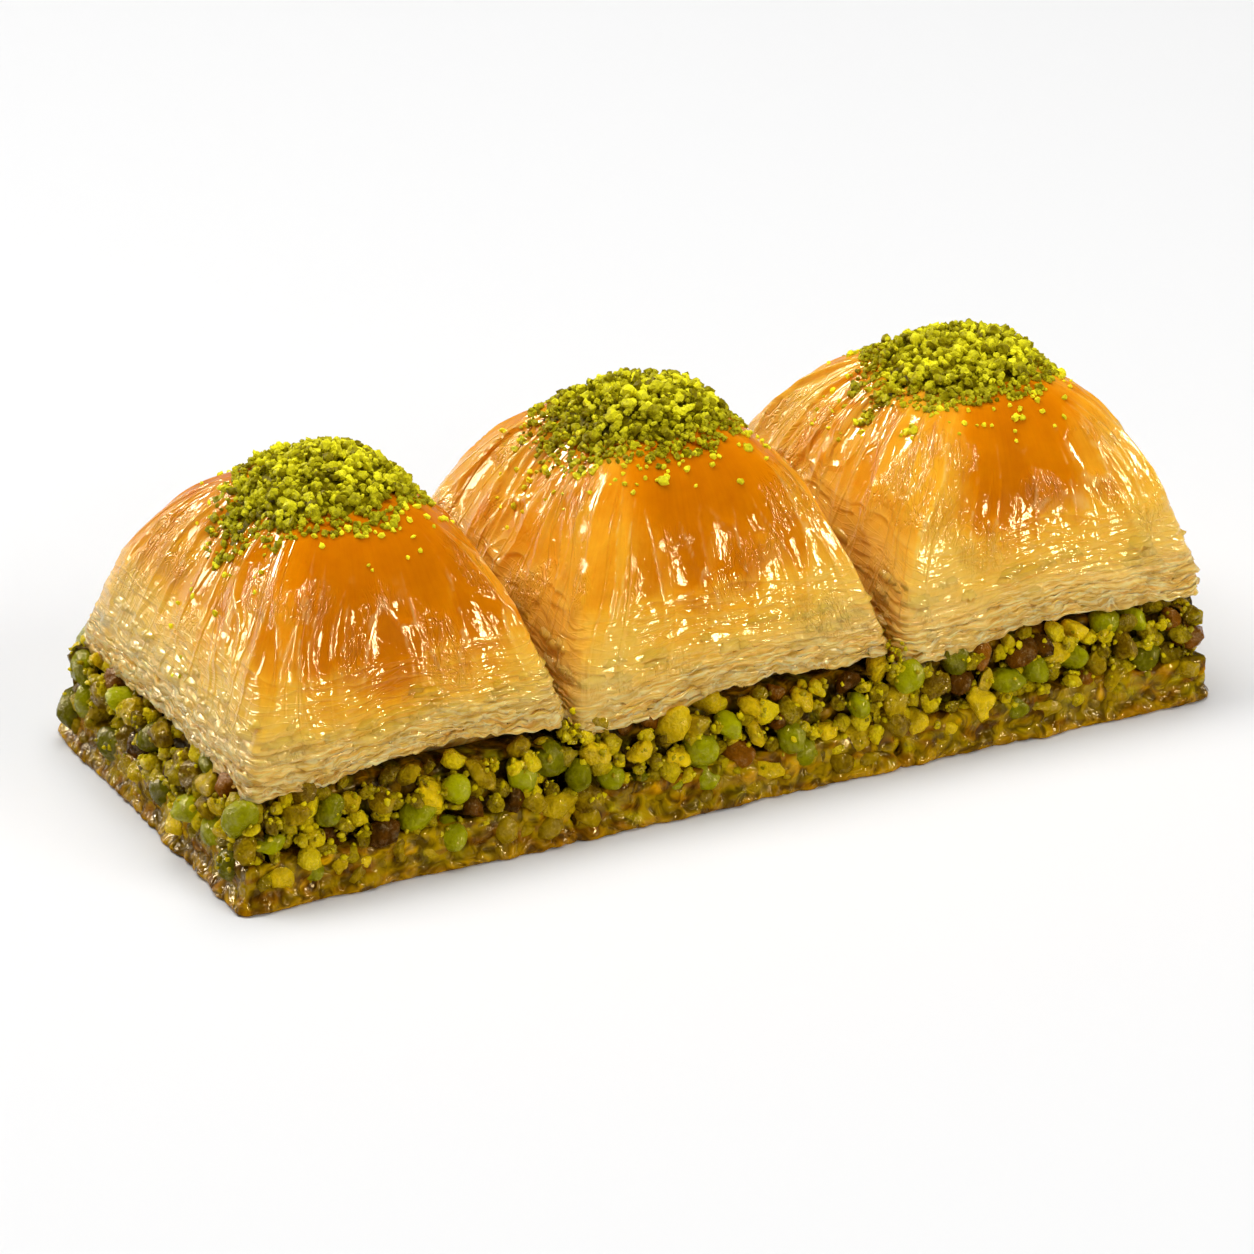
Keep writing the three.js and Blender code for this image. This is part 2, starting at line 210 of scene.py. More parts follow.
class Shader:
    """A material whose one Principled shader is fed by a few small helpers."""

    def __init__(self, name, **settings):
        self.material = bpy.data.materials.new(name)
        self.material.use_nodes = True
        self.nodes = self.material.node_tree.nodes
        self.links = self.material.node_tree.links
        self.surface = self.nodes["Principled BSDF"]
        for key, value in settings.items():
            self.surface.inputs[key.replace("_", " ")].default_value = value

    def link(self, output, socket):
        self.links.new(output, self.surface.inputs[socket])

    def attribute(self, name, output="Fac"):
        node = self.nodes.new("ShaderNodeAttribute")
        node.attribute_name = name
        return node.outputs[output]

    def noise(self, scale, detail=3.0, roughness=0.5, stretch=(1, 1, 1), distortion=0.0, along=None):
        """Noise with so many features per millimetre, in space or along an attribute in millimetres."""
        mapping = self.nodes.new("ShaderNodeMapping")
        if along is None:
            place = self.nodes.new("ShaderNodeTexCoord").outputs["Object"]
            mapping.inputs["Scale"].default_value = [part / MM for part in stretch]
        else:
            place = self.attribute(along, "Vector")
            mapping.inputs["Scale"].default_value = stretch
        self.links.new(place, mapping.inputs["Vector"])
        node = self.nodes.new("ShaderNodeTexNoise")
        node.inputs["Scale"].default_value = scale
        node.inputs["Detail"].default_value = detail
        node.inputs["Roughness"].default_value = roughness
        node.inputs["Distortion"].default_value = distortion
        self.links.new(mapping.outputs["Vector"], node.inputs["Vector"])
        return node.outputs["Fac"]

    def edges(self, along, scale, width):
        """1 on thin lines between cells along an attribute, 0 inside them."""
        node = self.nodes.new("ShaderNodeTexVoronoi")
        node.feature = "DISTANCE_TO_EDGE"
        node.inputs["Scale"].default_value = scale
        self.links.new(self.attribute(along, "Vector"), node.inputs["Vector"])
        return self.ramp(node.outputs["Distance"], (0.0, (1, 1, 1)), (width, (0, 0, 0)))

    def ramp(self, value, *stops):
        node = self.nodes.new("ShaderNodeValToRGB")
        band = node.color_ramp
        while len(band.elements) < len(stops):
            band.elements.new(0.5)
        for element, (position, colour) in zip(band.elements, stops):
            element.position = position
            element.color = (*colour, 1)
        self.links.new(value, node.inputs["Fac"])
        return node.outputs["Color"]

    def mix(self, share, first, second, blend="MIX"):
        node = self.nodes.new("ShaderNodeMix")
        node.data_type = "RGBA"
        node.blend_type = blend
        for socket, value in (("Factor", share), ("A", first), ("B", second)):
            target = next(s for s in node.inputs if s.name == socket and s.enabled)
            if isinstance(value, bpy.types.NodeSocket):
                self.links.new(value, target)
            elif socket == "Factor":
                target.default_value = value
            else:
                target.default_value = (*value, 1)
        return next(s for s in node.outputs if s.enabled)

    def math(self, operation, first, second=0.5, third=0.5, clamp=False):
        node = self.nodes.new("ShaderNodeMath")
        node.operation = operation
        node.use_clamp = clamp
        for target, value in zip(node.inputs, (first, second, third)):
            if isinstance(value, bpy.types.NodeSocket):
                self.links.new(value, target)
            else:
                target.default_value = value
        return node.outputs["Value"]

    def total(self, *parts):
        """The sum of values, each given with what it is multiplied by."""
        sum_so_far = 0.0
        for value, factor in parts:
            sum_so_far = self.math("MULTIPLY_ADD", value, factor, sum_so_far)
        return sum_so_far

    def film(self, gloss, rough):
        """Patches of syrup film, with nearly dry ones between them. The export keeps the plain gloss."""
        patches = self.noise(0.8, 2)
        mirrors = self.ramp(patches, (0.46, (0.03, 0.03, 0.03)), (0.56, (gloss, gloss, gloss)))
        self.surface.inputs["Specular IOR Level"].default_value = gloss
        self.link(mirrors, "Specular IOR Level")
        self.link(self.ramp(patches, (0.46, (0.6, 0.6, 0.6)), (0.56, (rough, rough, rough))), "Roughness")

    def bump(self, height, depth=1.0):
        """Relief whose depth is in millimetres."""
        node = self.nodes.new("ShaderNodeBump")
        node.inputs["Distance"].default_value = depth * MM
        self.links.new(height, node.inputs["Height"])
        return node.outputs["Normal"]


SYRUP_SHEEN = (1.0, 0.84, 0.48, 1)
NUT_SHEEN = (1.0, 0.76, 0.36, 1)


def crust_material():
    shader = Shader(
        "syruped_crust",
        Specular_IOR_Level=0.42,
        Specular_Tint=SYRUP_SHEEN,
        Subsurface_Weight=0.35,
        Subsurface_Radius=(1.0, 0.66, 0.18),
        Subsurface_Scale=1.8 * MM,
    )
    bake, stack, painted_crest_glint = (shader.attribute(name) for name in ("bake", "stack", "painted_crest_glint"))
    crinkle, wrinkled = shader.attribute("crinkle"), shader.attribute("wrinkled")
    strata = shader.noise(1.0, 3, 0.55, (0.3, 0.3, 3.6), 0.4, along="flow")
    patchy = shader.ramp(shader.noise(0.2, 2), (0.4, (0, 0, 0)), (0.6, (1, 1, 1)))
    flecks = shader.noise(1.0, 2, 0.5, (0.7, 0.7, 4.2), 0.6, along="flow")
    fibres = shader.noise(1.0, 3, 0.6, (1.5, 1.5, 0.12), 0.3, along="flow")
    wrinkles = shader.noise(0.55, 2, 0.55, (1, 1, 0.55), 1.6, along="flow")
    vein = shader.math("ABSOLUTE", shader.math("SUBTRACT", wrinkles, 0.5))
    vein = shader.math("MINIMUM", shader.math("MULTIPLY", vein, 14.0), 1.0)
    broken = shader.ramp(shader.noise(0.5, 2), (0.46, (0, 0, 0)), (0.56, (1, 1, 1)))
    edges = shader.math("MULTIPLY", shader.edges("folds", 1.0, 0.05), crinkle)
    fine_edges = shader.math("MULTIPLY", shader.edges("folds", 2.3, 0.09), broken)
    fine_edges = shader.math("MULTIPLY", fine_edges, crinkle)
    crossing = shader.edges("creases", 1.0, 0.12)
    crossing = shader.math("MULTIPLY", crossing, shader.attribute("crossed"))
    # The bake attribute holds painted highlight and shade as well as how far the crust is baked.
    mottled = shader.total((shader.noise(0.35, 4, 0.6), 0.24), (fibres, 0.12), (bake, 1.0))
    baked = shader.ramp(
        shader.math("SUBTRACT", mottled, 0.18),
        (0.0, rgb(250, 200, 98)),
        (0.3, rgb(252, 195, 72)),
        (0.55, rgb(250, 176, 38)),
        (0.8, rgb(220, 126, 0)),
        (1.0, rgb(200, 108, 0)),
    )
    # Streaks at the foot along the sheets' edges; the lightest ones are partly painted highlight.
    streaked = shader.ramp(
        strata, (0.34, rgb(204, 134, 32)), (0.5, rgb(252, 192, 82)), (0.62, rgb(255, 232, 156))
    )
    colour = shader.mix(shader.math("MULTIPLY", stack, 0.8), baked, streaked)
    # Painted shade in the knife cuts, partly syrup: the low faces there turn darker brown.
    colour = shader.mix(shader.attribute("cut_shade_and_syrup"), colour, rgb(188, 124, 16))
    # Painted highlights: cream flecks at the foot and broken cream lines along the fold crests stand in for
    # glints.
    painted_glints = shader.math("MULTIPLY", stack, shader.ramp(flecks, (0.56, (0, 0, 0)), (0.64, (1, 1, 1))))
    painted_glints = shader.total((painted_glints, 0.4), (shader.math("MULTIPLY", painted_crest_glint, broken), 0.25))
    shader.link(shader.mix(painted_glints, colour, rgb(255, 230, 146)), "Base Color")
    shader.link(shader.total((strata, 0.05), (stack, 0.03)), "Roughness")
    layered = shader.math("MULTIPLY", strata, shader.math("MULTIPLY_ADD", patchy, 0.8, 0.2))
    relief = shader.total(
        (shader.math("MULTIPLY", layered, stack), 0.17),
        (shader.math("MULTIPLY", flecks, stack), 0.2),
        (shader.math("MULTIPLY", vein, wrinkled), 0.12),
        (shader.math("MULTIPLY", wrinkles, wrinkled), 0.3),
        (edges, 0.16),
        (fine_edges, 0.07),
        (crossing, 0.07),
        (fibres, 0.004),
    )
    shader.link(shader.bump(relief), "Normal")
    return shader.material


def nut_material(name, dark, light, rough, depth, grain=1.6, gloss=0.5):
    shader = Shader(
        name,
        Specular_Tint=NUT_SHEEN,
        Subsurface_Weight=0.12,
        Subsurface_Radius=(1.0, 0.9, 0.15),
        Subsurface_Scale=0.6 * MM,
    )
    tint = shader.attribute("tint")
    grains = shader.noise(grain, 4, 0.6)
    cloudy = shader.total((shader.noise(0.6, 3), 0.9), (grains, 0.6), (tint, 0.9))
    shader.link(shader.ramp(shader.math("SUBTRACT", cloudy, 0.66), (0.0, dark), (1.0, light)), "Base Color")
    shader.film(gloss, rough)
    shader.link(shader.bump(grains, depth), "Normal")
    return shader.material


def paste_material(name, rough):
    """Finish of a piece that carries its own colour for each point."""
    shader = Shader(
        name,
        Specular_Tint=NUT_SHEEN,
        Subsurface_Weight=0.25,
        Subsurface_Radius=(1.0, 0.75, 0.1),
        Subsurface_Scale=1.2 * MM,
    )
    colour = shader.attribute("colour", "Color")
    lumps = shader.noise(0.42, 2.5, 0.5, distortion=1.2)
    cloudy = shader.ramp(lumps, (0.38, (0.42, 0.36, 0.3)), (0.62, (1.7, 1.65, 1.3)))
    shader.link(shader.mix(1.0, colour, cloudy, "MULTIPLY"), "Base Color")
    shader.film(0.36, rough)
    shader.link(shader.bump(lumps, 0.8), "Normal")
    return shader.material


# The crusts

DOME_SHOULDER = 0.74
CROWN_POWER = 4
RIM_POWER = 30
PLAN_SQUARING = 5
RIM_ARCH = 1.2
RIM_SHARPNESS = 12
CORNER_FLARE = 0.4
FLARE_SHARPNESS = 4
CRUST_COLUMNS = 540
SHEETS = 16
FIRST_PITCH = 0.38
PITCH_GROWTH = 1.1
LEAST_PITCH = 0.12
TIP_SHARE = 0.06
ROW_PITCH = 0.34
SKIN_START = 16.5
SKIN_END = 31.0
FLAKES = 220
FLAKE_ROWS = 11
FLAKE_STEPS = 3


class CrustForm:
    """One crust's smooth form, by the turn round it and the rise up its slope from the rim."""

    def __init__(self, square):
        self.square = square
        left = -SQUARE_WIDTH / 2 + square["insets"][0]
        right = SQUARE_WIDTH / 2 - square["insets"][1]
        front = -SQUARE_DEPTH / 2 + FRONT_INSET
        back = SQUARE_DEPTH / 2 - BACK_INSET
        self.centre = np.array([square["middle"] + (left + right) / 2, (front + back) / 2])
        self.half = np.array([right - left, back - front]) / 2 - CORNER_FLARE
        self.height = square["crust_top"] - square["crust_bottom"]
        self.share_table = 1 - np.linspace(0, 1, 4000) ** 2
        self.height_table = self.height * (1 - self.share_table ** square["bulge"]) ** DOME_SHOULDER
        out = self.half.mean() * np.diff(self.share_table)
        self.rise_table = np.concatenate([[0], np.cumsum(np.hypot(out, np.diff(self.height_table)))])
        self.slope_length = self.rise_table[-1]
        self.angle_table = np.linspace(-np.pi, np.pi, 8001)
        rim = self.place(self.angle_table, 1.0, 0.0)[:, :2]
        run = np.concatenate([[0], np.cumsum(np.linalg.norm(np.diff(rim, axis=0), axis=1))])
        self.turn_table = run / run[-1]
        self.girth = run[-1] / (2 * np.pi)

    def place(self, angle, share, height):
        """The same form as the solid's, from its polar angle, the share of the way out and height."""
        angle, share, height = np.broadcast_arrays(angle, share, height)
        along, across = np.cos(angle), np.sin(angle)
        power = CROWN_POWER + (RIM_POWER - CROWN_POWER) * share**PLAN_SQUARING
        plan = share / (np.abs(along) ** power + np.abs(across) ** power) ** (1 / power)
        corner = np.sin(2 * angle) ** 2
        near_rim = share**RIM_SHARPNESS
        flare = CORNER_FLARE * corner**FLARE_SHARPNESS * near_rim
        leaning = 1 - share**2
        lean = self.square["lean"]
        return np.stack(
            [
                self.centre[0] + lean[0] * leaning + (plan * self.half[0] + flare) * along,
                self.centre[1] + lean[1] * leaning + (plan * self.half[1] + flare) * across,
                self.square["crust_bottom"] + height + RIM_ARCH * (1 - corner) * near_rim,
            ],
            axis=-1,
        )

    def surface(self, turn, rise):
        angle = np.interp(turn % 1, self.turn_table, self.angle_table)
        share = np.interp(rise, self.rise_table, self.share_table)
        height = np.interp(rise, self.rise_table, self.height_table)
        return self.place(angle, share, height)

    def normals(self, turn, rise):
        step = 0.2
        onward = step / (2 * np.pi * self.girth)
        around = self.surface(turn + onward, rise) - self.surface(turn - onward, rise)
        low = np.clip(rise - step, 0, self.slope_length)
        high = np.clip(rise + step, 0, self.slope_length)
        up = self.surface(turn, high) - self.surface(turn, low)
        out = np.cross(around, up)
        return out / (np.linalg.norm(out, axis=-1, keepdims=True) + 1e-9)

    def around(self, turn):
        """Coordinates in millimetres of a point on the circle that the rim's length would make."""
        return -self.girth * np.cos(2 * np.pi * turn), -self.girth * np.sin(2 * np.pi * turn)

    def crown_spot(self, x, y, lift):
        """A point over the crown, x and y away from its top, lifted off the crust."""
        place = np.stack([x, y], axis=-1) / self.half
        angle = np.arctan2(place[..., 1], place[..., 0])
        along, across = np.abs(np.cos(angle)), np.abs(np.sin(angle))
        share = np.linalg.norm(place, axis=-1)
        for _ in range(4):
            power = CROWN_POWER + (RIM_POWER - CROWN_POWER) * share**PLAN_SQUARING
            share = np.linalg.norm(place, axis=-1) * (along**power + across**power) ** (1 / power)
        height = self.height * (1 - np.clip(share, 0, 1) ** self.square["bulge"]) ** DOME_SHOULDER
        return self.place(angle, share, height + lift)


def pleats(points, seed):
    """Hollow panels that meet in sharp ridges: the relief, and how far inside its panel a point is."""
    near, far, draws = cells(points.reshape(-1, 3), seed)
    shape = points.shape[:-1]
    inside = (far - near).reshape(shape)
    overlap = (draws[:, 0].reshape(shape) - 0.5) * smoothstep(inside, 0, 0.1)
    return near.reshape(shape) ** 2, inside, overlap


def skin_relief(form, turn, rise):
    """Long folds down from the crown and low crumples above the foot, and what the looks need of them."""
    seed = form.square["seed"]
    low, fine = Noise(seed + 1), Noise(seed + 2)
    x, y = form.around(turn)
    bend = 3.0 * low(x / 11, y / 11, rise / 13)
    long = np.stack([(x + bend) / 6.0, (y - bend) / 6.0, rise / 34 + 0.1 * bend], axis=-1)
    short = np.stack([(x + bend) / 2.4, (y - bend) / 2.4, rise / 6.5], axis=-1)
    crumple = np.stack([x / 4.2, y / 4.2, rise / 3.4 + 0.4 * bend], axis=-1)
    fold, inside, overlap = pleats(long, seed + 3)
    small, _, _ = pleats(short, seed + 4)
    crumpled, _, torn = pleats(crumple, seed + 5)
    wrinkled = smoothstep(low(x / 9, y / 9, rise / 8 + 20), 0.05, 0.4)
    leftward = smoothstep(-x / form.girth, 0.2, 0.8)
    rightward = smoothstep(x / form.girth, 0.1, 0.7)
    bare = 18 + 7 * leftward + 6 * rightward
    crown = (1 - smoothstep(rise, bare, bare + 8)) * (0.25 + 0.75 * smoothstep(rise, 9, 15))
    foot = (1 - smoothstep(rise, 12, 17)) * smoothstep(rise, 1, 5)
    ridge = np.exp(-((inside / 0.07) ** 2))
    full = 0.65 + 0.35 * leftward + 0.2 * rightward
    relief = crown * (full * (1.2 * fold + 0.2 * ridge) + (0.3 + 0.4 * leftward) * overlap)
    relief += crown * 0.35 * wrinkled * small
    relief += foot * (0.28 * crumpled + 0.2 * torn)
    above = (1 - smoothstep(rise, bare, bare + 7)) * smoothstep(rise, 3, 7)
    looks = {
        "crossed": (1 - smoothstep(rise, 11, 16)) * smoothstep(rise, 1, 4) * (1 - 0.6 * leftward),
        "crinkle": above * np.clip(0.2 + wrinkled + 0.7 * leftward, 0, 1),
        "wrinkled": above * (0.04 + 0.96 * wrinkled),
        # Where painted highlights go: thin lines along the fold crests, coloured cream in the material.
        "painted_crest_glint": crown * np.exp(-((inside / 0.035) ** 2)),
        "tone": crown * overlap,
        "folds": long + 7.5,
        "creases": np.stack([x / 4.5, y / 4.5, (rise + 0.5 * bend) / 0.8], axis=-1),
    }
    return relief + 0.012 * fine(x / 0.8, y / 0.8, rise / 1.4) - 0.25 * crown, looks


def sheet_edges(form, turn):
    """Rises of the sheets' lower edges all round: close together at the foot, further apart above."""
    wave = Noise(form.square["seed"] + 6)
    x, y = form.around(turn)
    pitches = FIRST_PITCH * PITCH_GROWTH ** np.arange(SHEETS)
    rises = np.cumsum(pitches)
    edges = []
    for number in range(SHEETS):
        wander = 1.3 * wave(x / 11, y / 11, 3.7 * number) + 0.5 * wave(x / 4, y / 4, 5.3 * number)
        edges.append(rises[number] + pitches[number] * wander + 0.06 * wave(x / 0.9, y / 0.9, 7.1 * number))
    steps = LEAST_PITCH * np.arange(1, SHEETS + 1)[:, None]
    return np.maximum.accumulate(np.maximum(np.sort(edges, axis=0) - steps, 0), axis=0) + steps


def crust_rows(form, turn):
    """Each row's sheet, its share of the way up that sheet, and its rise all round."""
    edges = sheet_edges(form, turn)
    bounds = [0 * turn, *edges, SKIN_START + 0 * turn]
    numbers, parts, rises = [], [], []
    for number, (low, high) in enumerate(zip(bounds, bounds[1:])):
        count = max(2, round(np.mean(high - low) / ROW_PITCH))
        for part in [0, *np.linspace(TIP_SHARE, 1, count, endpoint=False)]:
            numbers.append(number)
            parts.append(part)
            rises.append(low + (high - low) * part)
    above = [*np.arange(SKIN_START, SKIN_END, ROW_PITCH), *np.linspace(31.3, form.slope_length - 0.6, 12)]
    for rise in above:
        numbers.append(SHEETS + 1)
        parts.append(0.5)
        rises.append(rise + 0 * turn)
    return np.array(numbers)[:, None], np.array(parts)[:, None], np.array(rises)


def sheet_relief(form, number, part, x, y, rise):
    """Steps at the sheets' edges, ragged and gathered at the foot, and how far the loose tips sag."""
    sheet = Noise(form.square["seed"] + 4)
    foot = np.exp(-((rise / 5) ** 2))
    grouped = sheet(x / 7, y / 7, rise / 2 + 300.5)
    ragged = sheet(x / 3.2, y / 3.2, 7.3 * number + 0.5)
    teeth = sheet(x / 1.1, y / 1.1, 3.7 * number + 0.5)
    shown = smoothstep(sheet(x / 3.5, y / 3.5, 2.3 * number + 90), -0.1, 0.5)
    shown = np.where(number == SHEETS, 0.3 + shown, shown)
    thick = 0.1 * shown * (number <= SHEETS) + foot * (0.3 + 0.3 * ragged)
    above_root = part > 0
    steps = np.where(above_root, thick * (0.6 - part), -0.6 * thick)
    reach = above_root * (1 - 0.6 * part) * foot * (0.35 * ragged + 0.16 * teeth)
    gathers = crests(sheet(x / 1.9 + grouped, y / 1.9, rise / 6 + 50)) - 0.75
    pinches = crests(sheet(x / 1.8 + grouped, y / 1.8, rise / 4 + 70), 0.15) - 0.75
    pinched = smoothstep(rise, 2, 5) * (1 - smoothstep(rise, 11, 15)) * smoothstep(grouped, -0.4, 0.3)
    pinched = pinched * (1 - 0.7 * smoothstep(-x / form.girth, 0.4, 0.9))
    tip = above_root * (1 - part)
    sag = 0.5 * sheet(x / 5, y / 5, number / 3 + 0.5) + 0.4 * sheet(x / 2.2, y / 2.2, 5.9 * number + 0.5)
    steps += reach + foot * (0.3 * grouped + 0.2 * gathers) + 0.18 * pinched * pinches
    return steps, foot * (1.2 * sag + 0.45 * teeth - 0.25 * tip)


def rim_lift(form, x, y, rise):
    """How far the front rim is raised, from its left end to its right."""
    left, right = form.square["lift"]
    front = smoothstep(-y / form.girth, 0.3, 0.8)
    return (left + (right - left) * smoothstep(x / form.girth, -0.6, 0.5)) * front * np.exp(-((rise / 7) ** 2))


def bake_and_painted_light_of(form, number, part, x, y, rise, steps, tone):
    """How far the crust is baked, with painted highlight and shade mixed in: most on the crown, least on tips,
    the foot and the left face.
    """
    low = Noise(form.square["seed"] + 1)
    bake = form.square["bake"] + 0.42 * smoothstep(rise, 2, 9.5) + 0.34 * smoothstep(rise, 9, 18)
    bake += 0.15 * smoothstep(rise, 20, 30) + 0.1 * low(x / 6, y / 6, rise / 14 + 120) + 0.22 * tone
    # The left face is paler, partly less baked and partly painted highlight where the back-left light falls;
    # parts that stand out are paler and grooves darker, partly painted highlight and painted shade.
    bake -= 0.3 * smoothstep(-x / form.girth, 0.1, 0.9) + 0.3 * np.clip(steps, -0.5, 0.4)
    # Painted highlight: the front-right faces are lightened to stand in for their glints.
    bake -= 0.2 * smoothstep(x / form.girth, 0, 0.7)
    bake -= 0.08 * smoothstep(2 * np.abs(x * y) / form.girth**2, 0.6, 1)
    # Each sheet's tip is paler, partly as thin sheet and partly as a painted highlight along its lip; each sheet
    # also has its own tone.
    bake += (number <= SHEETS) * (0.06 * low(x / 9, y / 9, 5.7 * number) - 0.12 * (part > 0) * (1 - part) ** 4)
    return np.clip(bake, 0, 0.95)


def shade_and_syrup_in_cuts(form, x, rise):
    """How far the low parts of the faces in the knife cuts are darkened: partly syrup, partly painted shade
    between the squares.
    """
    facing = -x / form.girth if form.square["index"] > 0 else 0 * x
    if form.square["index"] < len(SQUARES) - 1:
        facing = np.maximum(facing, x / form.girth)
    return 0.6 * smoothstep(facing, 0.6, 0.95) * (1 - smoothstep(rise, 7, 20))


def crust(square, material):
    form = CrustForm(square)
    square["form"] = form
    turn = np.arange(CRUST_COLUMNS) / CRUST_COLUMNS
    number, part, rise = crust_rows(form, turn)
    x, y = (along + 0 * rise for along in form.around(turn))
    low = Noise(square["seed"] + 1)

    steps, sag = sheet_relief(form, number, part, x, y, rise)
    folds, looks = skin_relief(form, turn + 0 * rise, rise)
    spots = form.surface(turn + 0 * rise, rise)
    spots += form.normals(turn + 0 * rise, rise) * (steps + folds)[..., None]
    spots[..., 2] += sag + rim_lift(form, x, y, rise)
    looks["bake"] = bake_and_painted_light_of(form, number, part, x, y, rise, steps, looks.pop("tone"))
    looks["stack"] = 1 - smoothstep(rise + 2.5 * low(x / 5, y / 5, 7.5), 1.5, 7.5)
    looks["flow"] = np.stack([x, y, rise], axis=-1)
    looks["cut_shade_and_syrup"] = shade_and_syrup_in_cuts(form, x, rise)
    flakes(square, spots, rise, looks, material)

    middle = np.array([*form.centre, 0])
    under = []
    for share, drop in ((0.5, 0.1), (0.88, 0.5)):
        ring = middle + (spots[0] - middle) * [share, share, 1]
        ring[:, 2] = square["crust_bottom"] + drop
        under.append(ring)
    lip = middle + (spots[0] - middle) * [0.965, 0.965, 1]
    lip[:, 2] = spots[0, :, 2] + 0.15
    rings = np.concatenate([[*under, lip], spots])
    looks = {key: np.concatenate([values[:3], values]) for key, values in looks.items()}
    piece = closed_lathe(f"flaky_crust_{square['name']}", rings, material, **looks)
    dress(piece, "crust", f"crust_{square['name']}")


def spots_at(turn, rise, rises, grids):
    """Values of the crust's grids at any turn and rise, between their columns and rows."""
    column = (turn % 1) * CRUST_COLUMNS
    first = column.astype(int) % CRUST_COLUMNS
    across = column - column.astype(int)
    found = {key: 0.0 for key in grids}
    for near, share in ((first, 1 - across), ((first + 1) % CRUST_COLUMNS, across)):
        row = (rises[:, near] <= rise).sum(axis=0).clip(1, len(rises) - 1)
        low, high = rises[row - 1, near], rises[row, near]
        up = np.clip((rise - low) / np.maximum(high - low, 1e-6), 0, 1)
        for key, values in grids.items():
            weights = (share * (1 - up), share * up)
            if values.ndim == 3:
                weights = tuple(weight[..., None] for weight in weights)
            found[key] = found[key] + values[row - 1, near] * weights[0] + values[row, near] * weights[1]
    return found


def flakes(square, spots, rises, looks, material):
    """Torn bits of sheet that stand out from the foot, each a thin closed leaf on the crust."""
    form = square["form"]
    random = np.random.default_rng(square["seed"] + 60)
    curl = Noise(square["seed"] + 61)
    along = np.linspace(-1, 1, FLAKE_ROWS)[:, None]
    up = np.concatenate([np.linspace(1, 0, FLAKE_STEPS), np.linspace(0, 1, FLAKE_STEPS)])
    inner = np.arange(2 * FLAKE_STEPS) >= FLAKE_STEPS
    leaf = lathe_faces(FLAKE_ROWS, 2 * FLAKE_STEPS)
    points, faces, worn = [], [], {key: [] for key in looks}
    start = 0
    for number in range(FLAKES):
        width = random.uniform(0.8, 3.4) / (2 * np.pi * form.girth)
        turn = random.uniform() + along * width + 0 * up
        low = 0.2 + 9.0 * random.uniform() ** 1.5
        tall = random.uniform(0.5, 1.6) * np.sqrt(1.002 - along**4)
        rag = 0.3 * curl(2.5 * along, 7.3 * number, 0.5) + 0.12 * curl(7 * along, 7.3 * number, 5.5)
        rise = np.clip(low + rag * (1 - up) + tall * up, 0.05, None)
        lift = random.uniform(0.2, 0.8) * (1 - up) ** 1.4 * (1 - along**2)
        lift = lift + 0.12 * curl(3 * along, up, 7.3 * number) * (1 - up) - 0.1 * inner - 0.06
        grid = spots_at(turn, rise, rises, {"spots": spots, **looks})
        place = grid.pop("spots") + form.normals(turn, rise) * lift[..., None]
        place[..., 2] -= 0.2 * (1 - up)
        points.append(with_ends(place))
        for key, values in grid.items():
            worn[key].append(with_ends(values))
        faces.extend([corner + start for corner in face] for face in leaf)
        start += len(points[-1])
    worn = {key: np.concatenate(values) for key, values in worn.items()}
    piece = add_mesh(f"loose_flakes_{square['name']}", np.concatenate(points), faces, material, **worn)
    dress(piece, "crust", f"crust_{square['name']}")


# The heaps of ground pistachio

HEAP_REACH = (13.5, 12.5)
HEAP_SHIFT = (-1.0, 0.5)
HEAP_HEIGHT = 2.6
HEAP_COLUMNS = 80
CRUMB_KINDS = [
    {"name": "pistachio_crumbs", "count": 410, "strays": 30, "size": (0.4, 0.72), "subdivisions": 2},
    {"name": "fine_pistachio_crumbs", "count": 1080, "strays": 120, "size": (0.3, 0.55), "subdivisions": 1},
]


def heap_spot(square, angle, share, lift):
    """A point of the heap at a share of its wavy reach, lifted off the crust."""
    wave = Noise(square["seed"] + 20)
    reach = 1 + 0.14 * wave(1.5 * np.cos(angle), 1.5 * np.sin(angle), 0.5)
    reach = reach + 0.07 * wave(5 * np.cos(angle), 5 * np.sin(angle), 3.5)
    x = HEAP_REACH[0] * share * reach * np.cos(angle) + HEAP_SHIFT[0]
    y = HEAP_REACH[1] * share * reach * np.sin(angle) + HEAP_SHIFT[1]
    return square["form"].crown_spot(x, y, lift)


def heap_thickness(share):
    return 0.2 + (HEAP_HEIGHT - 0.2) * (1 - np.clip(share, 0, 1) ** 2)


def heap_core(square, material):
    angle, share = np.meshgrid(
        np.linspace(-np.pi, np.pi, HEAP_COLUMNS, endpoint=False), np.linspace(0.93, 0.03, 30)
    )
    bump = Noise(square["seed"] + 21)
    x, y = 12 * share * np.cos(angle), 12 * share * np.sin(angle)
    lift = heap_thickness(share) - 1.2 + 0.4 * bump(x / 1.6, y / 1.6, 0) + 0.3 * bump(x / 0.8, y / 0.8, 5)
    top = heap_spot(square, angle, share, lift)
    under = heap_spot(square, angle[:3], np.array([[0.05], [0.5], [0.9]]) + 0 * angle[:3], -0.6)
    rings = np.concatenate([under, top])
    # Painted shade: the core under the crumbs is drawn dark, for the shade in the gaps between them.
    tint = np.full(rings.shape[:2], -0.5)
    piece = closed_lathe(f"heap_core_{square['name']}", rings, material, tint=tint)
    dress(piece, "ground_pistachio", f"ground_pistachio_{square['name']}")


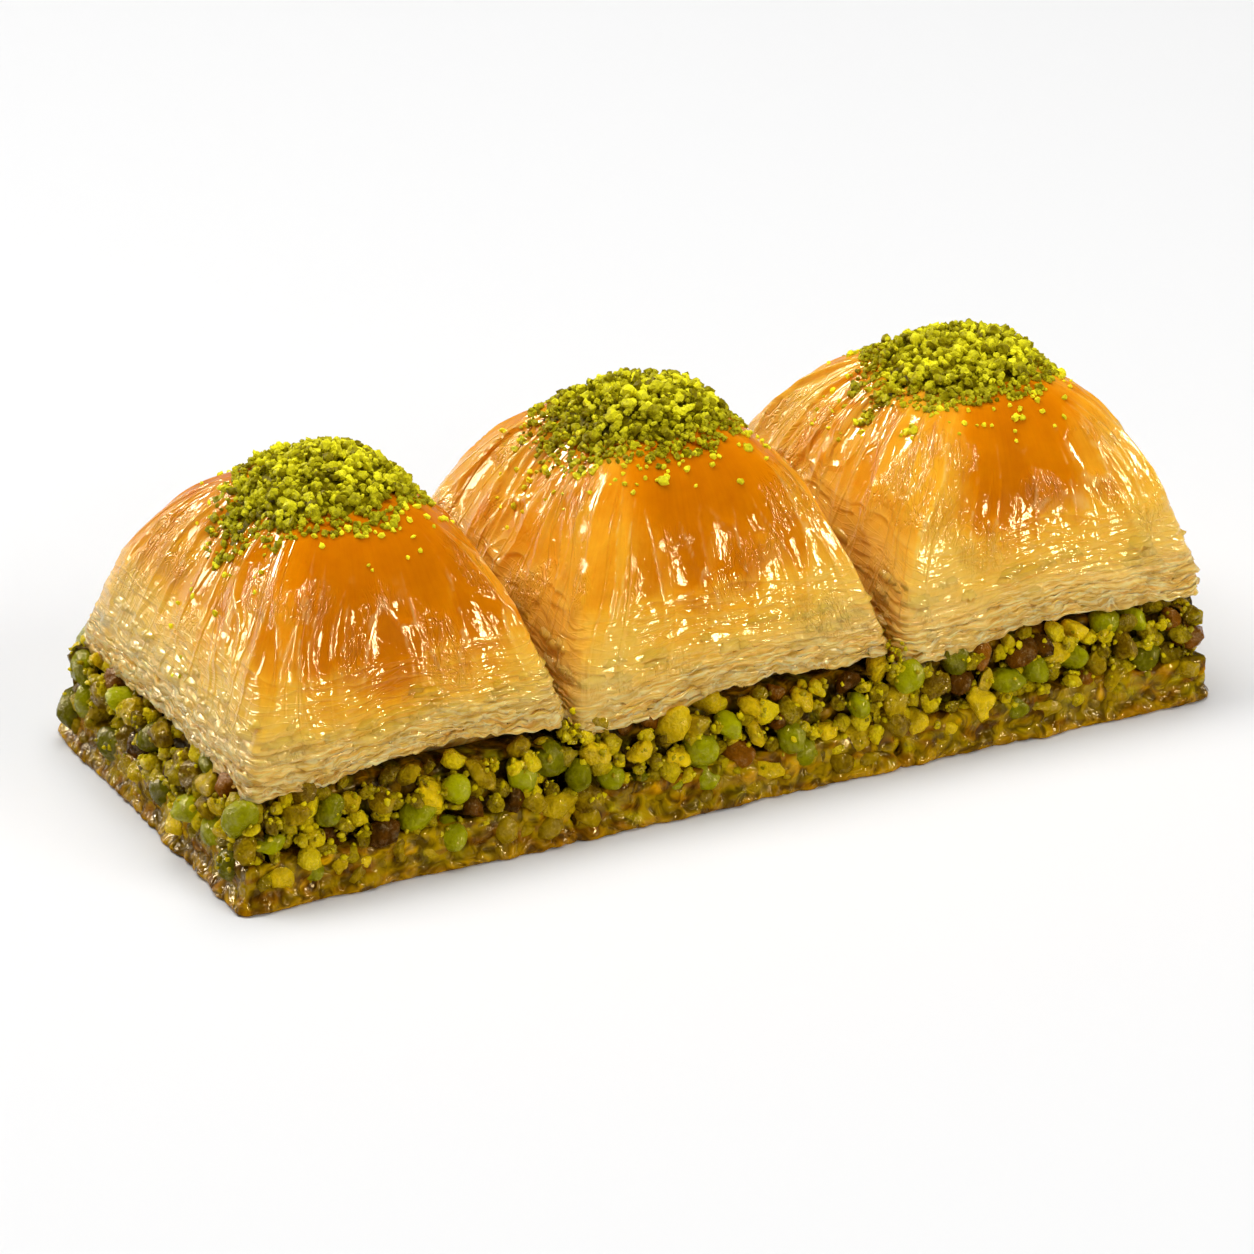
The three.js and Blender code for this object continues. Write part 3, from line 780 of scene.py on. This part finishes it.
def pebble(random, seed, subdivisions, lump, lump_size, cuts=0):
    """An irregular pebble of about unit radius, with flat chopped faces: its points and triangles."""
    ball = bmesh.new()
    bmesh.ops.create_icosphere(ball, subdivisions=subdivisions, radius=1)
    points = np.array([corner.co for corner in ball.verts])
    faces = np.array([[corner.index for corner in face.verts] for face in ball.faces])
    ball.free()
    bump = Noise(seed)
    x, y, z = (points / 1.1 + random.uniform(0, 50, 3)).T
    points = points * random.uniform(0.7, 1.3, 3) * (1 + 0.25 * bump(x, y, z))[:, None]
    for _ in range(cuts):
        normal = random.normal(size=3)
        normal /= np.linalg.norm(normal)
        over = points @ normal - random.uniform(0.3, 0.7)
        points = points - 0.9 * np.maximum(over, 0)[:, None] * normal
    x, y, z = (points / lump_size + random.uniform(0, 50, 3)).T
    rough = bump(x, y, z) + 0.5 * bump(2.3 * x, 2.3 * y, 2.3 * z)
    return points * (1 + lump * rough)[:, None], faces


def random_turns(random, count):
    """Rotation matrices, spread evenly over all orientations."""
    q = random.normal(size=(count, 4))
    w, x, y, z = (q / np.linalg.norm(q, axis=1, keepdims=True)).T
    rows = [
        [1 - 2 * (y * y + z * z), 2 * (x * y - z * w), 2 * (x * z + y * w)],
        [2 * (x * y + z * w), 1 - 2 * (x * x + z * z), 2 * (y * z - x * w)],
        [2 * (x * z - y * w), 2 * (y * z + x * w), 1 - 2 * (x * x + y * y)],
    ]
    return np.moveaxis(np.array(rows), -1, 0)


def scatter(name, prototypes, places, sizes, random, material, tints, smooth=True):
    """One mesh of many pebbles: each a prototype, turned and sized, at its place."""
    turns = random_turns(random, len(places))
    points, faces, tint = [], [], []
    start = 0
    for number, (place, size, turn) in enumerate(zip(places, sizes, turns)):
        shape, triangles = prototypes[number % len(prototypes)]
        points.append(shape @ turn.T * size + place)
        faces.append(triangles + start)
        tint.append(np.full(len(shape), tints[number]))
        start += len(shape)
    points, faces, tint = (np.concatenate(rows) for rows in (points, faces, tint))
    return add_mesh(name, points, faces.tolist(), material, smooth, tint=tint)


def crumb_in_heap(square, random, clump):
    """A crumb's place in the heap, its tint, darker low in the heap as painted shade, and how much smaller it is
    near the heap's edge.
    """
    angle = random.uniform(-np.pi, np.pi)
    share = 1.03 * random.uniform() ** 0.5
    high = float(clump(3 * share * np.cos(angle), 3 * share * np.sin(angle), 0.5))
    thickness = heap_thickness(share) * (1 + 0.3 * high)
    lift = np.clip(thickness - 0.6 + random.uniform(-0.9, 0.7), 0.15, None)
    # Painted shade: crumbs lower in the heap are drawn darker.
    tint = random.uniform(-0.1, 1) * (0.3 + 0.7 * min(lift / 1.5, 1))
    return heap_spot(square, np.array(angle), np.array(share), lift), tint, 1 if share < 0.85 else 0.75


def stray_crumb(square, random):
    angle = random.uniform(-np.pi, np.pi)
    share = 1.0 + 0.4 * random.uniform() ** 2
    return heap_spot(square, np.array(angle), np.array(share), 0.1), random.uniform(0.5, 1.2), 0.8


def heap_crumbs(kind, seed, material):
    random = np.random.default_rng(seed)
    prototypes = [pebble(random, 60 + turn, kind["subdivisions"], 0.45, 0.5) for turn in range(14)]
    crumbs = []
    for square in SQUARES:
        clump = Noise(square["seed"] + 22)
        crumbs += [crumb_in_heap(square, random, clump) for _ in range(kind["count"])]
        crumbs += [stray_crumb(square, random) for _ in range(kind["strays"])]
    places, tints, shrinking = (np.array(values) for values in zip(*crumbs))
    sizes = random.uniform(*kind["size"], len(crumbs)) * shrinking
    piece = scatter(kind["name"], prototypes, places, sizes, random, material, tints, smooth=False)
    dress(piece, "ground_pistachio", *(f"ground_pistachio_{square['name']}" for square in SQUARES))


# The filling and the soaked pastry

CORNER_RADIUS = 0.7


def outline(square, turn, inset=0.0):
    """Points of a square's outline with rounded corners, and the direction out of it at each."""
    x = (SQUARE_WIDTH - KNIFE_CUT) / 2 - CORNER_RADIUS
    y = SQUARE_DEPTH / 2 - CORNER_RADIUS
    arc = np.pi / 2 * CORNER_RADIUS
    lengths = np.array([2 * x, arc, 2 * y, arc, 2 * x, arc, 2 * y, arc])
    ends = np.cumsum(lengths)
    run = (turn % 1) * ends[-1]
    side = np.searchsorted(ends, run, side="right").clip(0, 7)
    part = (run - (ends - lengths)[side]) / lengths[side]
    corners = np.array([[x, -y], [x, y], [-x, y], [-x, -y]])
    starts = np.array([[-x, -y], [x, -y], [x, y], [-x, y]])
    facing = -np.pi / 2 + (side // 2) * np.pi / 2 + np.where(side % 2 == 1, part * np.pi / 2, 0)
    out = np.stack([np.cos(facing), np.sin(facing)], axis=-1)
    straight = starts[side // 2] + (corners[side // 2] - starts[side // 2]) * part[..., None]
    base = np.where((side % 2 == 1)[..., None], corners[side // 2], straight)
    place = base + out * (CORNER_RADIUS - inset)
    return place + [square["middle"], 0], out


def slab(name, square, bottom, top, inset, relief, paint, material, columns=380, rows=24, bevel=0.5):
    """A slab on a square's outline whose sides are pushed out by relief and coloured by paint."""
    turn, level = np.meshgrid(np.arange(columns) / columns, np.linspace(0, 1, rows))
    place, out = outline(square, turn)
    height = bottom + (top - bottom) * level
    spots = np.concatenate([place, height[..., None]], axis=-1)
    rounding = bevel * (1 - np.sqrt(np.clip(1 - np.abs(2 * level - 1) ** 6, 0, 1)))
    push = relief(spots) - inset - rounding
    spots[..., :2] += out * push[..., None]
    middle = np.array([square["middle"], 0, 0])
    inner = [0.4, 0.8, 0.95]
    lower = [middle + (spots[0] - middle) * [share, share, 1] for share in inner]
    upper = [middle + (spots[-1] - middle) * [share, share, 1] for share in reversed(inner)]
    rings = np.concatenate([lower, spots, upper])
    colours = paint(rings)
    return closed_lathe(name, rings, material, colour=colours)


NUT_GREEN = rgb(150, 140, 0)
NUT_YELLOW = rgb(196, 146, 0)
NUT_BROWN = rgb(92, 54, 4)
SYRUP_BROWN = rgb(124, 80, 0)
SYRUP_AMBER = rgb(168, 120, 0)
OLIVE = rgb(146, 118, 0)


def soaked_relief(spots):
    near, far, _ = cells(spots.reshape(-1, 3) / [2.6, 2.6, 2.2], 71)
    bumps = (0.4 * smoothstep(far - near, 0, 0.6)).reshape(spots.shape[:2])
    wave = Noise(72)
    x, y, z = np.moveaxis(spots, -1, 0)
    foot = 1.0 * smoothstep(-z, -2.4, -0.3) * (1 + 0.5 * wave(x / 6, y / 6, 0.5))
    return bumps - 0.3 + foot + 0.4 * wave(x / 5, y / 5, z / 4) + 0.2 * wave(x / 1.6, y / 1.6, z / 1.3)


def soaked_paint(spots):
    flat = spots.reshape(-1, 3)
    near, far, draws = cells(flat / [2.6, 2.6, 2.2], 71)
    kind = draws[:, 0]
    nut = np.where(
        (kind < 0.3)[:, None], NUT_GREEN, np.where((kind < 0.6)[:, None], NUT_YELLOW, NUT_BROWN)
    )
    wave = Noise(73)
    x, y, z = flat.T
    streak = smoothstep(wave(x / 3, y / 3, z / 1.1), -0.2, 0.5)[:, None]
    gel = np.array(OLIVE) * (1 - streak) + np.array(SYRUP_BROWN) * streak
    shown = (0.55 * smoothstep(far - near, 0.05, 0.45) * smoothstep(draws[:, 1], 0.2, 0.7))[:, None]
    colour = gel * (1 - shown) + nut * shown
    amber = smoothstep(-z, -1.6, -0.3)[:, None] * 0.6
    colour = colour * (1 - amber) + np.array(SYRUP_AMBER) * amber
    return colour.reshape(spots.shape)


def filling_relief(spots):
    near, far, _ = cells(spots.reshape(-1, 3) / 2.3, 81)
    bumps = (0.8 * smoothstep(far - near, 0, 0.6)).reshape(spots.shape[:2])
    wave = Noise(82)
    x, y, z = np.moveaxis(spots, -1, 0)
    return bumps + 0.5 * wave(x / 4, y / 4, z / 3) + 0.2 * wave(x / 1.1, y / 1.1, z / 1.1)


def filling_paint(spots):
    flat = spots.reshape(-1, 3)
    near, far, draws = cells(flat / 2.3, 81)
    deep = smoothstep(far - near, 0.0, 0.45)[:, None]
    kind = (draws[:, :1] < 0.5) * 1.0
    crumb = np.array(NUT_GREEN) * kind * 0.6 + np.array(NUT_YELLOW) * (1 - kind) * 0.5
    # The paste is dark brown, darkest in the grooves between its lumps as painted shade, with its crumbs drawn
    # darker than the loose nuts, also as painted shade.
    colour = np.array(rgb(64, 42, 4)) * (1 - deep) + crumb * deep
    return colour.reshape(spots.shape)


def slabs(soaked_finish, filling_finish):
    for square in SQUARES:
        name = square["name"]
        soaked = slab(
            f"soaked_slab_{name}", square, 0.0, square["soaked_top"] + 0.3, 0.15,
            soaked_relief, soaked_paint, soaked_finish,
        )
        dress(soaked, "soaked_pastry", f"soaked_pastry_{name}")
        core = slab(
            f"filling_core_{name}", square, square["filling_bottom"], square["filling_top"], 3.4,
            filling_relief, filling_paint, filling_finish, columns=300, rows=14,
        )
        dress(core, "filling", f"filling_{name}")


def side_places(random, count, gap, depth_range, low, high, taken):
    """Places on the row's open sides, at least a gap from those taken: point and outward direction."""
    left = SQUARES[0]["middle"] - (SQUARE_WIDTH - KNIFE_CUT) / 2
    right = SQUARES[-1]["middle"] + (SQUARE_WIDTH - KNIFE_CUT) / 2
    front, back = -SQUARE_DEPTH / 2, SQUARE_DEPTH / 2
    sides = [
        (np.array([left, front]), np.array([right, front]), np.array([0, -1])),
        (np.array([left, back]), np.array([right, back]), np.array([0, 1])),
        (np.array([left, front]), np.array([left, back]), np.array([-1, 0])),
        (np.array([right, front]), np.array([right, back]), np.array([1, 0])),
    ]
    lengths = np.array([np.linalg.norm(end - start) for start, end, _ in sides])
    placed = []
    for _ in range(count * 12):
        if len(placed) >= count:
            break
        side = random.choice(4, p=lengths / lengths.sum())
        start, end, out = sides[side]
        run = random.uniform(2.0, lengths[side] - 2.0) / lengths[side]
        flat = start + (end - start) * run
        height = random.uniform(low, high)
        depth = random.uniform(*depth_range) + 1.2 * smoothstep(height, high - 1.6, high)
        spot = np.array([*(flat - out * depth), height])
        if taken and np.min(np.linalg.norm(np.array(taken) - spot, axis=1)) < gap:
            continue
        taken.append(spot)
        placed.append(spot)
    return placed


def sunken_nuts(material):
    """Nuts in the soaked pastry, of which only the caps stand out of the gel."""
    random = np.random.default_rng(9)
    prototypes = [pebble(random, 400 + turn, 2, 0.1, 0.8, 2) for turn in range(9)]
    places = side_places(random, 230, 3.0, (1.1, 1.7), 1.2, SQUARES[0]["soaked_top"] - 0.3, [])
    places = np.array(places)
    sizes = random.uniform(1.0, 1.9, len(places))
    places[:, 2] = np.maximum(places[:, 2], 1.4 * sizes)
    tints = random.uniform(size=len(places))
    piece = scatter("sunken_pistachios", prototypes, places, sizes, random, material, tints)
    dress(piece, "soaked_pastry", *(f"soaked_pastry_{square['name']}" for square in SQUARES))


NUT_KINDS = [
    {"name": "green_pistachios", "count": 80, "gap": 3.5, "size": (1.6, 2.5), "depth": (0.9, 2.3),
     "shape": (3, 0.06, 0.6, 0), "low": 2.2},
    {"name": "dark_skinned_pistachios", "count": 44, "gap": 2.8, "size": (1.3, 1.9), "depth": (1.4, 2.6),
     "shape": (2, 0.2, 0.5, 1), "low": 0.8},
    {"name": "yellow_pistachios", "count": 130, "gap": 2.9, "size": (1.4, 2.2), "depth": (0.8, 2.2),
     "shape": (3, 0.16, 0.5, 2), "low": 2.2},
    {"name": "chopped_pistachios", "count": 420, "gap": 1.9, "size": (0.8, 1.5), "depth": (0.8, 2.4),
     "shape": (2, 0.24, 0.5, 1), "low": 2.2},
]
CRUMBS_ON_NUT = 7
CRUMBS_IN_CUT = 150


def cut_crumbs(random, level):
    """Places of crumbs that fell into the ends of the two knife cuts, between the crusts."""
    places = []
    for x in ((left["middle"] + right["middle"]) / 2 for left, right in zip(SQUARES, SQUARES[1:])):
        for _ in range(CRUMBS_IN_CUT):
            y = random.choice([-1, 1]) * (SQUARE_DEPTH / 2 - 1 - 7 * random.uniform() ** 2)
            places.append(np.array([x + random.uniform(-1.1, 1.3), y, level + 3.2 * random.uniform() ** 2]))
    return places


def filling_nuts(finishes):
    random = np.random.default_rng(8)
    low, high = SQUARES[0]["filling_bottom"], SQUARES[0]["filling_top"]
    nodes = [f"filling_{square['name']}" for square in SQUARES]
    left_end = SQUARES[0]["middle"] - SQUARE_WIDTH / 2 + 2.6
    taken, crumbs = [], []
    for number, kind in enumerate(NUT_KINDS):
        prototypes = [pebble(random, 200 + 10 * number + turn, *kind["shape"]) for turn in range(9)]
        places = side_places(
            random, kind["count"], kind["gap"], kind["depth"], low - kind["low"], high + 0.3, taken
        )
        sizes = random.uniform(*kind["size"], len(places))
        # Nuts near the left end are drawn darker.
        darker_at_left_end = np.array([0.15 if place[0] < left_end else 0.0 for place in places])
        tints = random.uniform(size=len(places)) - darker_at_left_end
        piece = scatter(kind["name"], prototypes, np.array(places), sizes, random, finishes[kind["name"]], tints)
        dress(piece, "filling", *nodes)
        for place, size in zip(places, sizes):
            heading = random.normal(size=(CRUMBS_ON_NUT, 3))
            heading[:, 2] = np.abs(heading[:, 2])
            heading /= np.linalg.norm(heading, axis=1, keepdims=True)
            crumbs.extend(place + 0.9 * size * heading)
    crumbs = [spot for spot in crumbs if low - 1.5 < spot[2] < high] + cut_crumbs(random, high)
    prototypes = [pebble(random, 300 + turn, 1, 0.5, 0.45) for turn in range(9)]
    sizes = random.uniform(0.16, 0.5, len(crumbs))
    tints = random.uniform(size=len(crumbs))
    piece = scatter(
        "filling_crumbs", prototypes, np.array(crumbs), sizes, random, finishes["filling_crumbs"], tints
    )
    dress(piece, "filling", *nodes)


# The floor, the light and the camera


def stage():
    floor = add_mesh(
        "floor",
        np.array([[-2000, -2000, 0], [2000, -2000, 0], [2000, 2000, 0], [-2000, 2000, 0]]),
        [[0, 1, 2, 3]],
        Shader("white_floor", Base_Color=(0.785, 0.785, 0.785, 1), Roughness=0.8, Specular_IOR_Level=0).material,
        smooth=False,
    )


def softbox(name, place, target, size, power, colour=(1, 1, 1)):
    data = bpy.data.lights.new(name, "AREA")
    data.shape = "RECTANGLE"
    data.size, data.size_y = size
    data.energy = power
    data.color = colour
    lamp = bpy.data.objects.new(name, data)
    bpy.context.collection.objects.link(lamp)
    lamp.location = place
    lamp.rotation_euler = (Vector(target) - Vector(place)).to_track_quat("-Z", "Y").to_euler()
    return lamp


def light_from(azimuth, elevation, distance):
    """A place round the row: azimuth 0 is straight in front, and 90 to the right."""
    a, e = np.radians(azimuth), np.radians(elevation)
    return Vector((np.sin(a) * np.cos(e), -np.cos(a) * np.cos(e), np.sin(e))) * distance


CREAM = (1.0, 0.93, 0.78)


def lights():
    world = bpy.data.worlds.new("studio")
    bpy.context.scene.world = world
    world.use_nodes = True
    nodes, links = world.node_tree.nodes, world.node_tree.links
    place = nodes.new("ShaderNodeTexCoord")
    parts = nodes.new("ShaderNodeSeparateXYZ")
    ramp = nodes.new("ShaderNodeValToRGB")
    links.new(place.outputs["Generated"], parts.inputs["Vector"])
    links.new(parts.outputs["Z"], ramp.inputs["Fac"])
    links.new(ramp.outputs["Color"], nodes["Background"].inputs["Color"])
    ramp.color_ramp.elements[0].position = 0.12
    ramp.color_ramp.elements[0].color = (0.4, 0.4, 0.4, 1)
    ramp.color_ramp.elements[1].position = 0.45
    ramp.color_ramp.elements[1].color = (0.04, 0.04, 0.04, 1)
    middle = (0, 0, 0.02)
    fills = [
        softbox("overhead_fill", light_from(170, 82, 1.1), middle, (0.9, 0.9), 10.6),
        softbox("left_fill", light_from(-125, 56, 1.1), middle, (0.4, 0.4), 4.6),
        softbox("front_fill", light_from(25, 32, 1.2), middle, (0.5, 0.4), 5.0),
    ]
    for lamp in fills:
        lamp.visible_glossy = False
    cards = [
        softbox("back_left_strip", light_from(-150, 34, 1.0), middle, (0.13, 0.7), 17.0, CREAM),
        softbox("left_low_card", light_from(-134, 10, 1.0), middle, (0.36, 0.14), 3.4, CREAM),
        softbox("front_strip", light_from(28, 18, 1.2), middle, (0.11, 0.46), 10.5, CREAM),
        softbox("right_card", light_from(75, 26, 1.2), middle, (0.14, 0.34), 9.0, CREAM),
    ]
    for lamp in cards:
        lamp.visible_diffuse = False


CAMERA_AZIMUTH = np.radians(-26.645)
CAMERA_ELEVATION = np.radians(25.269)
CAMERA_DISTANCE = 0.9077
CAMERA_TARGET = Vector((-0.00576, -0.0084, 0.0170))
CAMERA_LENS = 208.96
SENSOR_WIDTH = 36.0


def camera():
    data = bpy.data.cameras.new("camera")
    data.sensor_width = SENSOR_WIDTH
    data.lens = CAMERA_LENS
    data.clip_start, data.clip_end = 0.05, 10
    piece = bpy.data.objects.new("camera", data)
    bpy.context.collection.objects.link(piece)
    level = np.cos(CAMERA_ELEVATION)
    back = Vector(
        (np.sin(CAMERA_AZIMUTH) * level, -np.cos(CAMERA_AZIMUTH) * level, np.sin(CAMERA_ELEVATION))
    )
    piece.location = CAMERA_TARGET + back * CAMERA_DISTANCE
    piece.rotation_euler = (-back).to_track_quat("-Z", "Y").to_euler()
    bpy.context.scene.camera = piece


# The scene

camera()
lights()
stage()
crust_finish = crust_material()
crumb_finish = nut_material("bright_crumbs", rgb(120, 108, 0), rgb(255, 246, 40), 0.55, 0.2, 2.0, gloss=0.15)
for square in SQUARES:
    crust(square, crust_finish)
    heap_core(square, crumb_finish)
for number, kind in enumerate(CRUMB_KINDS):
    heap_crumbs(kind, 5 + number, crumb_finish)
slabs(paste_material("soaked_gel", 0.05), paste_material("nut_paste", 0.3))
sunken_nuts(nut_material("sunken_nut", rgb(104, 76, 0), rgb(206, 170, 6), 0.05, 0.25))
filling_nuts(
    {
        "green_pistachios": nut_material("green_nut", rgb(96, 90, 0), rgb(174, 172, 2), 0.05, 0.3),
        "dark_skinned_pistachios": nut_material("nut_skin", rgb(58, 32, 0), rgb(150, 88, 6), 0.06, 0.6),
        "yellow_pistachios": nut_material("yellow_nut", rgb(110, 80, 0), rgb(255, 214, 18), 0.05, 0.6),
        "chopped_pistachios": nut_material("olive_nut", rgb(108, 82, 0), rgb(255, 222, 18), 0.05, 1.0),
        "filling_crumbs": nut_material("wet_crumbs", rgb(116, 94, 0), rgb(232, 208, 14), 0.12, 0.2, 2.0),
    }
)

bpy.context.scene.view_settings.view_transform = "Standard"
